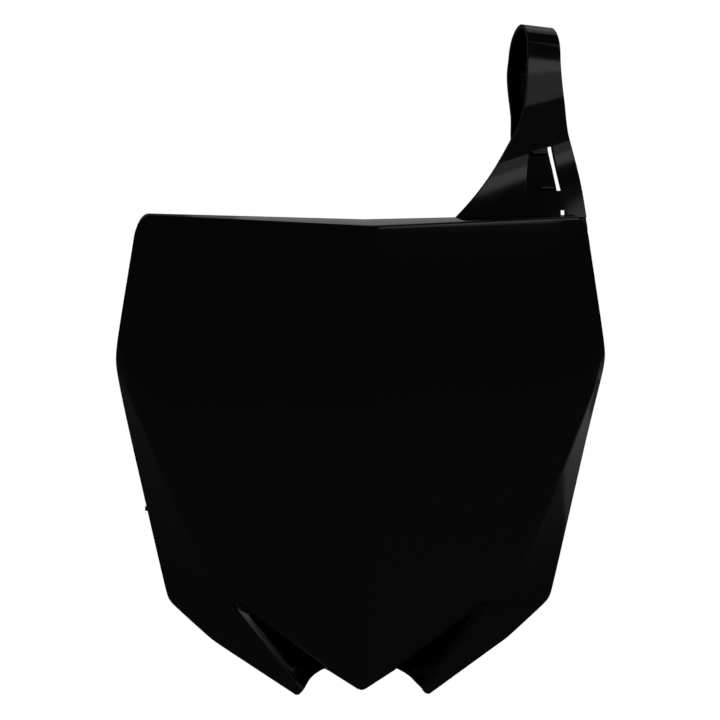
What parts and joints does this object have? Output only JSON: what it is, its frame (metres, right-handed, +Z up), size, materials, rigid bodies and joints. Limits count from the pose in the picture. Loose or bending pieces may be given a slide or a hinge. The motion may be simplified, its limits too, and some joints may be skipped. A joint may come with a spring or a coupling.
{
  "type": "racing number board",
  "caption": "Gloss black off-road front number plate with a V-shaped face, side gills, a top lip and a moulded strap that loops round the handlebar.",
  "frame": {"origin": "centre of the upper bolt hole, at the middle of its plate's thickness", "axes": "+X to the right as seen from the front, +Y from the face to the back, +Z up"},
  "size_m": [0.2618, 0.0707, 0.3576],
  "materials": {
    "number_board": "gloss black moulded plastic"
  },
  "bodies": {
    "root": {"number_board": "number_board"}
  },
  "joints": []
}
